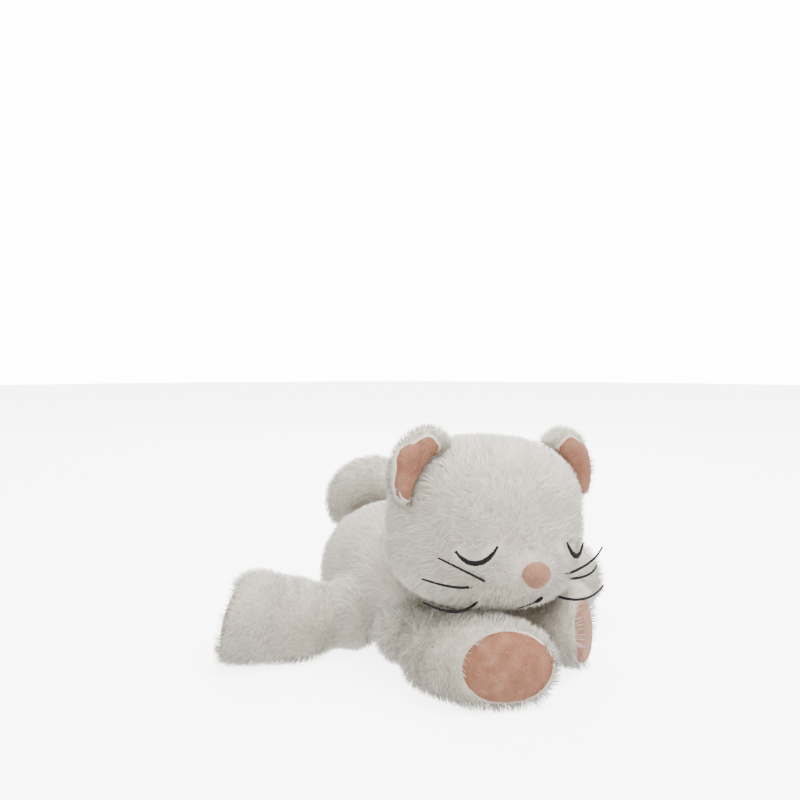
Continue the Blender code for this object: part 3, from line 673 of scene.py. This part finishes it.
def share_of_patch(shape, roots, out):
    """How far out each root lies on a sewn piece: 0 at its middle, 1 at its edge, 9 off it."""
    middle, normal, side, rise, reach = shape
    from_middle = roots - np.array(middle)
    u = from_middle @ np.array(side)
    v = from_middle @ np.array(rise)
    spoke = np.mod(np.arctan2(v, u), 2 * math.pi) / (2 * math.pi) * len(reach)
    edge = np.interp(spoke, np.arange(len(reach) + 1), np.append(reach, reach[0]))
    share = np.hypot(u, v) / edge
    share[(out @ np.array(normal) < 0.1) | (np.abs(from_middle @ np.array(normal)) > 0.012)] = 9.0
    return share


def rim_of(shape, roots, out):
    """1 at the edge of a sewn piece, fading to 0 away from it."""
    return 1.0 - smooth_step(RIM_INNER, RIM_OUTER, share_of_patch(shape, roots, out))


def patch(
    name, node, tree, facing, lift, material, body,
    grow=0.0, rings=18, spokes=84, crown=0.0, corner=None,
):
    """Lays a sewn velour piece over a skin, its edge tucked under the pile, and returns its outline."""
    middle, normal, side, rise = plane_of(node, facing)
    reach = outline(node, middle, side, rise, spokes, grow)
    if corner is not None:
        reach = cornered(reach, corner)
    verts = []
    for ring in range(rings + 1):
        share = ring / rings
        for spoke in range(spokes):
            angle = 2 * math.pi * spoke / spokes
            along_side = side * math.cos(angle) * reach[spoke] * share
            along_rise = rise * math.sin(angle) * reach[spoke] * share
            flat = along_side + along_rise
            start = middle + flat + normal * 0.03
            place, out, _, _ = tree.ray_cast(start, -normal, 0.06)
            if place is None:
                place, out, _, _ = tree.find_nearest(middle + flat)
            edge = 1.0 - share ** 6
            height = lift * edge - 0.0012 * (1.0 - edge) + crown * (1.0 - share * share)
            verts.append(place + out * height)
    mesh = bpy.data.meshes.new(name)
    form = bmesh.new()
    made_verts = [form.verts.new(vert) for vert in verts]
    for face in grid_faces(rings, spokes):
        form.faces.new([made_verts[index] for index in face])
    bmesh.ops.remove_doubles(form, verts=made_verts[:spokes], dist=0.001)
    bmesh.ops.recalc_face_normals(form, faces=form.faces)
    form.faces.ensure_lookup_table()
    total = sum((face.normal for face in form.faces), Vector())
    if total.dot(normal) < 0:
        bmesh.ops.reverse_faces(form, faces=form.faces)
    form.to_mesh(mesh)
    form.free()
    made = link(name, mesh, material)
    soften = made.modifiers.new("soften", "SMOOTH")
    soften.factor = 0.5
    soften.iterations = 3
    settle(made)
    made.data.shade_smooth()
    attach(made, body)
    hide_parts(node)
    return middle, normal, side, rise, reach


# -------------------------------------------------------------------- tubes
def rod(points, radii, sides=10):
    """A closed round rod through points, with its own radius at each."""
    points = [Vector(point) for point in points]
    verts = []
    faces = []
    lead = (points[1] - points[0]).normalized()
    across = lead.orthogonal().normalized()
    for index, point in enumerate(points):
        before = points[max(index - 1, 0)]
        after = points[min(index + 1, len(points) - 1)]
        lead = (after - before).normalized()
        across = (across - lead * across.dot(lead)).normalized()
        up = lead.cross(across)
        for step in range(sides):
            angle = 2 * math.pi * step / sides
            verts.append(point + (across * math.cos(angle) + up * math.sin(angle)) * radii[index])
    for index in range(len(points) - 1):
        for step in range(sides):
            after = (step + 1) % sides
            low = index * sides
            faces.append((low + step, low + after, low + sides + after, low + sides + step))
    faces.append(tuple(reversed(range(sides))))
    faces.append(tuple(range(len(verts) - sides, len(verts))))
    return verts, faces


def mesh_piece(name, parts, material, body):
    """One piece made of several parts, each a list of points and a list of faces."""
    verts = []
    faces = []
    for some_verts, some_faces in parts:
        base = len(verts)
        verts += some_verts
        faces += [tuple(base + corner for corner in face) for face in some_faces]
    mesh = bpy.data.meshes.new(name)
    mesh.from_pydata(verts, [], faces)
    mesh.shade_smooth()
    made = link(name, mesh, material)
    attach(made, body)
    return made


# -------------------------------------------------------------------- build
FUR = pile_material()
BACKING = backing_material()
VELOUR = velour_material(
    "pink_velour",
    rgb(0.165, 0.060, 0.032),
    rgb(0.235, 0.098, 0.056),
    rgb(0.34, 0.175, 0.112),
)
NOSE = velour_material(
    "nose_velour",
    rgb(0.19, 0.080, 0.048),
    rgb(0.26, 0.122, 0.077),
    rgb(0.37, 0.20, 0.138),
)
THREAD = thread_material()
BRISTLE = bristle_material()

add_camera()

# the head's own directions: its left, its back and its crown
head_turned = Matrix.Rotation(HEAD_ROLL, 3, "Y") @ Matrix.Rotation(-HEAD_YAW, 3, "Z")
HEAD_LEFT = head_turned @ Vector((1, 0, 0))
HEAD_BACK = head_turned @ Vector((0, 1, 0))
HEAD_CROWN = head_turned @ Vector((0, 0, 1))


def head_place(left, back, up):
    return HEAD_MIDDLE + HEAD_LEFT * left + HEAD_BACK * back + HEAD_CROWN * up


def on_face(tree, left, up):
    """The point of the face straight ahead of a place beside the head's middle."""
    place, normal, _, _ = tree.ray_cast(head_place(left, -0.15, up), HEAD_BACK)
    return place, normal


# ---- skins
sockets = []
for _, label in SIDES:
    sockets.append((JOINTS["arm_" + label + "_swing"]["pos_m"], ARM_SOCKET))
    sockets.append((JOINTS["leg_" + label + "_swing"]["pos_m"], LEG_SOCKET))
sockets.append((JOINTS["tail_swing"]["pos_m"], TAIL_SOCKET))
torso = skin("torso_skin", TORSO_NODES, TORSO_VOXEL, SKIN_INSET, BACKING, 14, sockets)
head = skin("head_skin", HEAD_NODES, HEAD_VOXEL, SKIN_INSET, BACKING)
neck = skin("neck_gather", NECK_NODES, NECK_VOXEL, NECK_INSET, BACKING)
tail = skin("tail_skin", TAIL_NODES, TAIL_VOXEL, TAIL_INSET, BACKING, 4)
for piece, body, nodes in (
    (torso, "torso", TORSO_NODES),
    (head, "head", HEAD_NODES),
    (neck, "neck", NECK_NODES),
    (tail, "tail", TAIL_NODES),
):
    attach(piece, body)
    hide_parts(*nodes)
torso_tree = tree_of(torso.data)
head_tree = tree_of(head.data)

# ---- face features
nose_spot, nose_out = on_face(head_tree, *NOSE_AT)


def torso_comb(roots, out):
    return np.broadcast_to(np.array((0.0, 1.0, -0.5)), roots.shape)


def head_comb(roots, out):
    """Away from the nose over the face, then back and down behind the ears."""
    back = (roots - np.array(HEAD_MIDDLE)) @ np.array(HEAD_BACK)
    low = (roots - np.array(HEAD_MIDDLE)) @ np.array(HEAD_CROWN)
    away = unit(roots - np.array(nose_spot))
    away[:, 2] -= 0.25 + 0.9 * smooth_step(-0.018, -0.042, low)
    behind = np.array((0.0, 0.35, -1.0))
    share = smooth_step(0.0, 0.04, back)[:, None]
    return away * (1 - share) + behind * share


def near_any(roots, spots, low, high):
    """0 within low metres of the nearest spot, 1 beyond high."""
    finder = KDTree(len(spots))
    for index, spot in enumerate(spots):
        finder.insert(spot, index)
    finder.balance()
    return smooth_step(low, high, np.array([finder.find(root)[2] for root in roots]))


def eye_points(side, count, tree):
    points = []
    for step in range(count):
        share = 2.0 * step / (count - 1) - 1.0
        left = side * (EYE_SPREAD + share * EYE_WIDTH / 2)
        up = -EYE_DROP - EYE_TILT * share - EYE_SAG * (1.0 - share * share)
        place, normal = on_face(tree, left, up)
        points.append((place, normal))
    return points


EYES = {label: eye_points(side, EYE_POINTS, head_tree) for side, label in SIDES}
MOUTH = []
for step in range(MOUTH_STEPS + 1):
    share = step / MOUTH_STEPS
    up = -MOUTH_DROP - MOUTH_HEIGHT * math.sin(share * math.pi / 2)
    MOUTH.append(on_face(head_tree, MOUTH_START - MOUTH_WIDTH * share, up))

face_spots = [place for label in EYES for place, _ in EYES[label]]
mouth_spots = [place for place, _ in MOUTH]


def head_thin(roots, out):
    """Short round the eyes, the mouth and the nose, longer under the chin."""
    share = 0.12 + 0.88 * near_any(roots, face_spots, *EYE_CLEAR)
    share = np.minimum(share, 0.2 + 0.8 * near_any(roots, mouth_spots, *MOUTH_CLEAR))
    low = (roots - np.array(HEAD_MIDDLE)) @ np.array(HEAD_CROWN)
    share = share * (1.0 + CHIN_LONGER * smooth_step(*CHIN, low))
    from_nose = np.linalg.norm(roots - np.array(nose_spot), axis=1)
    round_nose = smooth_step(*NOSE_BARE, from_nose) * (0.40 + 0.60 * smooth_step(*NOSE_SHORT, from_nose))
    return np.minimum(share, round_nose)


pile("torso_pile", torso, "torso", FUR, torso_comb, PILE, STRANDS, None, 11, 0.85)
pile("head_pile", head, "head", FUR, head_comb, PILE, STRANDS * 1.15, head_thin, 12, 0.9)
pile("neck_pile", neck, "neck", FUR, torso_comb, NECK_PILE, STRANDS, None, 13, 0.6)


def tail_comb(roots, out):
    """Along the curl, from its root over the top to its tip."""
    root = np.array(JOINTS["tail_swing"]["pos_m"])
    side = np.array((-math.cos(TAIL_LEAN), math.sin(TAIL_LEAN), 0.0))
    from_centre = roots - (root + side * TAIL_CURL)
    across = from_centre @ side
    rise = from_centre[:, 2]
    angle = np.arctan2(rise, -across)
    way = side * np.sin(angle)[:, None]
    way[:, 2] = np.cos(angle)
    return way


pile("tail_pile", tail, "tail", FUR, tail_comb, TAIL_PILE, STRANDS * 1.2, None, 14, 0.85)

# ---- ears
for side, label in SIDES:
    nodes = ("ear_" + label + "_back", "ear_" + label + "_lining")
    ear = skin("ear_" + label + "_skin", nodes, EAR_VOXEL, EAR_INSET, BACKING, 4)
    body = "ear_" + label
    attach(ear, body)
    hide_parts(nodes[0])
    ear_tree = tree_of(ear.data)
    lining_shape = patch(
        body + "_lining_velour", nodes[1], ear_tree, Vector((0, -1, 0)), LINING_LIFT, VELOUR, body,
        grow=LINING_GROW, corner=math.pi / 2 - side * LINING_CORNER,
    )
    hinge = np.array(JOINTS[body + "_fold"]["pos_m"])

    def ear_comb(roots, out):
        """Outwards from the head, and over the edge of the lining."""
        brushed = unit(roots - np.array(HEAD_MIDDLE)) + 0.6 * unit(roots - hinge) * np.array((1, 0.2, 1))
        inward = unit(np.array(lining_shape[0]) - roots)
        rim = rim_of(lining_shape, roots, out)[:, None]
        return brushed * (1.0 - rim) + inward * rim

    def ear_lay(roots, out):
        rim = rim_of(lining_shape, roots, out)
        return 0.95 * (1.0 - rim) + RIM_LAY * rim

    def ear_thin(roots, out):
        """Bare under the lining and inside the head."""
        shown = share_of_patch(lining_shape, roots, out) > RIM_BARE
        return shown * (depth_inside(head_tree, roots) < 0.004)

    pile(
        body + "_pile", ear, body, FUR, ear_comb, EAR_PILE, STRANDS * 1.8, ear_thin, 20 + side, ear_lay,
        width=EAR_FIBRE_WIDTH,
    )

# ---- limbs
for side, label in SIDES:
    for limb in ("arm", "leg"):
        body = limb + "_" + label
        nodes = (body + "_cover", body + "_stuffing", body + "_pad")
        piece = skin(body + "_skin", nodes, LIMB_VOXEL, SKIN_INSET, BACKING, 6)
        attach(piece, body)
        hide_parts(nodes[0], nodes[1])
        root = np.array(JOINTS[body + "_swing"]["pos_m"])
        low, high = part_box(body + "_pad")
        sole = (np.array(low) + np.array(high)) / 2
        axis = sole - root
        axis[2] = 0.0
        axis = axis / np.linalg.norm(axis)
        limb_tree = tree_of(piece.data)
        pad_shape = patch(
            body + "_sole", nodes[2], limb_tree, Vector(axis), SOLE_LIFT, VELOUR, body,
            grow=SOLE_GROW, crown=SOLE_CROWN,
        )

        def limb_comb(roots, out):
            """Towards the paw, outwards round the sole, and over the edge of its pad."""
            facing = smooth_step(0.25, 0.75, out @ axis)[:, None]
            outward = unit(roots - sole)
            brushed = axis[None, :] * (1.0 - facing) + outward * facing + np.array((0, 0, -0.15))
            rim = rim_of(pad_shape, roots, out)[:, None]
            return brushed * (1.0 - rim) - outward * rim

        def limb_lay(roots, out):
            """Flatter towards the sole, nearly upright at the edge of its pad."""
            lay = 0.85 + 0.30 * smooth_step(0.25, 0.75, out @ axis)
            rim = rim_of(pad_shape, roots, out)
            return lay * (1.0 - rim) + RIM_LAY * rim

        def limb_thin(roots, out):
            shown = share_of_patch(pad_shape, roots, out) > RIM_BARE
            return shown * (depth_inside(torso_tree, roots) < 0.008)

        pile(
            body + "_pile", piece, body, FUR, limb_comb, PILE, STRANDS * 1.2, limb_thin,
            30 + side + len(label) + (7 if limb == "leg" else 0), limb_lay,
        )

# ---- nose
rings = 20
spokes = 40
verts = []
up = (HEAD_CROWN - nose_out * HEAD_CROWN.dot(nose_out)).normalized()
across = up.cross(-nose_out).normalized()
for ring in range(rings + 1):
    polar = math.pi * ring / rings
    for spoke in range(spokes):
        angle = 2 * math.pi * spoke / spokes
        wide = math.sin(polar) * math.cos(angle)
        tall = math.sin(polar) * math.sin(angle)
        narrow = 1.0 + 0.22 * min(tall, 0.0) + 0.05 * max(tall, 0.0)
        verts.append(
            nose_spot + nose_out * NOSE_PROUD
            + across * wide * narrow * NOSE_HALF_WIDTH
            + up * tall * NOSE_HALF_HEIGHT
            + nose_out * math.cos(polar) * NOSE_HALF_DEPTH
        )
form = bmesh.new()
made = [form.verts.new(vert) for vert in verts]
for face in grid_faces(rings, spokes):
    form.faces.new([made[corner] for corner in face])
bmesh.ops.remove_doubles(form, verts=form.verts, dist=0.00005)
bmesh.ops.recalc_face_normals(form, faces=form.faces)
nose_mesh = bpy.data.meshes.new("nose_velour")
form.to_mesh(nose_mesh)
form.free()
nose_mesh.shade_smooth()
nose = link("nose_velour", nose_mesh, NOSE)
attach(nose, "head")
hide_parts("nose")

# ---- stitched eyes
rng = np.random.default_rng(5)
for side, label in SIDES:
    points = EYES[label]
    parts = []
    for index in range(len(points) - 1):
        here, out = points[index]
        after, _ = points[index + 1]
        run = (after - here).normalized()
        cross = out.cross(run).normalized()
        share = index / (len(points) - 2)
        half = STITCH_END + STITCH_BELLY * math.sin(math.pi * share) ** 0.6
        tilt = run * rng.uniform(-0.0002, 0.0004)
        middle = here + out * (EYE_LIFT + rng.uniform(-0.0001, 0.0002))
        tops = [middle - cross * half - tilt, middle + out * 0.00025, middle + cross * half + tilt]
        parts.append(rod(tops, STITCH_RADII, 8))
    for end, way in ((0, -1), (len(points) - 1, 1)):
        here, out = points[end]
        beside = points[1][0] - points[0][0] if end == 0 else points[-1][0] - points[-2][0]
        run = beside.normalized() * way
        cross = HEAD_CROWN - out * HEAD_CROWN.dot(out)
        cross = cross.normalized()
        for lash in range(LASHES):
            way_out = (run * (0.55 + 0.35 * lash) + cross * (0.75 - 0.55 * lash)).normalized()
            start = here + out * EYE_LIFT - way_out * 0.0008
            middle = start + way_out * 0.0016
            tip = start + way_out * LASH_LENGTH + out * 0.0004
            parts.append(rod((start, middle, tip), LASH_RADII, 8))
    eye = mesh_piece("eye_" + label + "_stitches", parts, THREAD, "head")
    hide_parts("eye_" + label)

# ---- mouth
points = [place + out * MOUTH_LIFT for place, out in MOUTH]
radii = [0.0012 if index < 4 else 0.00045 for index in range(len(points))]
radii[0] = 0.0008
radii[4] = 0.0007
radii[-2] = 0.0006
radii[-1] = 0.0005
mouth = mesh_piece("mouth_stitches", [rod(points, radii)], THREAD, "head")
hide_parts("mouth_stitch")

# ---- whiskers
for side, label in SIDES:
    for row, spread, drop, reach, rise, back, sag in WHISKERS:
        root, out = on_face(head_tree, side * spread, -drop)
        root = root + out * WHISKER_PROUD
        points = []
        for step in range(WHISKER_STEPS + 1):
            share = step / WHISKER_STEPS
            arch = 4.0 * share * (1.0 - share)
            points.append(
                root
                + HEAD_LEFT * (side * reach * share)
                + HEAD_BACK * (back * share - WHISKER_BOW * arch)
                + HEAD_CROWN * (rise * share - sag * arch)
            )
        shares = [step / WHISKER_STEPS for step in range(WHISKER_STEPS + 1)]
        radii = [WHISKER_RADIUS - WHISKER_TAPER * share ** 2 for share in shares]
        name = "whisker_" + label + "_" + row
        whisker = mesh_piece(name + "_bristle", [rod(points, radii)], BRISTLE, "head")
        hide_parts(name)

# ---------------------------------------------------------------- the stage
floor_mesh = bpy.data.meshes.new("floor")
corners = [(x * FLOOR_REACH, y * FLOOR_REACH, 0) for x, y in ((-1, -1), (1, -1), (1, 1), (-1, 1))]
floor_mesh.from_pydata(corners, [], [(0, 1, 2, 3)])
floor = link("floor", floor_mesh, floor_material())
floor.visible_diffuse = False

world = bpy.data.worlds.new("studio")
bpy.context.scene.world = world
world.use_nodes = True
backdrop = world.node_tree.nodes["Background"]
backdrop.inputs["Color"].default_value = (1.0, 1.0, 1.0, 1.0)
backdrop.inputs["Strength"].default_value = DAYLIGHT


def add_dome():
    """A plain white surround that the camera sees and the cat isn't lit by."""
    form = bmesh.new()
    bmesh.ops.create_uvsphere(form, u_segments=48, v_segments=24, radius=SURROUND_RADIUS)
    mesh = bpy.data.meshes.new("surround")
    form.to_mesh(mesh)
    form.free()
    glow = bpy.data.materials.new("surround")
    glow.use_nodes = True
    shine = glow.node_tree.nodes.new("ShaderNodeEmission")
    shine.inputs["Strength"].default_value = SURROUND_GLOW
    surface = glow.node_tree.nodes["Material Output"].inputs["Surface"]
    glow.node_tree.links.new(shine.outputs["Emission"], surface)
    made = link("surround", mesh, glow)
    made.visible_diffuse = False
    made.visible_glossy = False
    made.visible_transmission = False
    made.visible_shadow = False


add_dome()


def softbox(name, place, aim, size, power):
    light = bpy.data.lights.new(name, "AREA")
    light.shape = "SQUARE"
    light.size = size
    light.energy = power
    made = bpy.data.objects.new(name, light)
    bpy.context.scene.collection.objects.link(made)
    made.location = place
    made.rotation_euler = (Vector(aim) - Vector(place)).to_track_quat("-Z", "Y").to_euler()


softbox("key", (0.25, -0.75, 1.9), (0, -0.05, 0.08), 1.1, 80.0)
softbox("fill", (-1.2, -1.1, 1.0), (0, -0.05, 0.08), 1.2, 8.0)
softbox("rear", (0.5, 1.4, 1.2), (0, -0.05, 0.08), 1.2, 30.0)
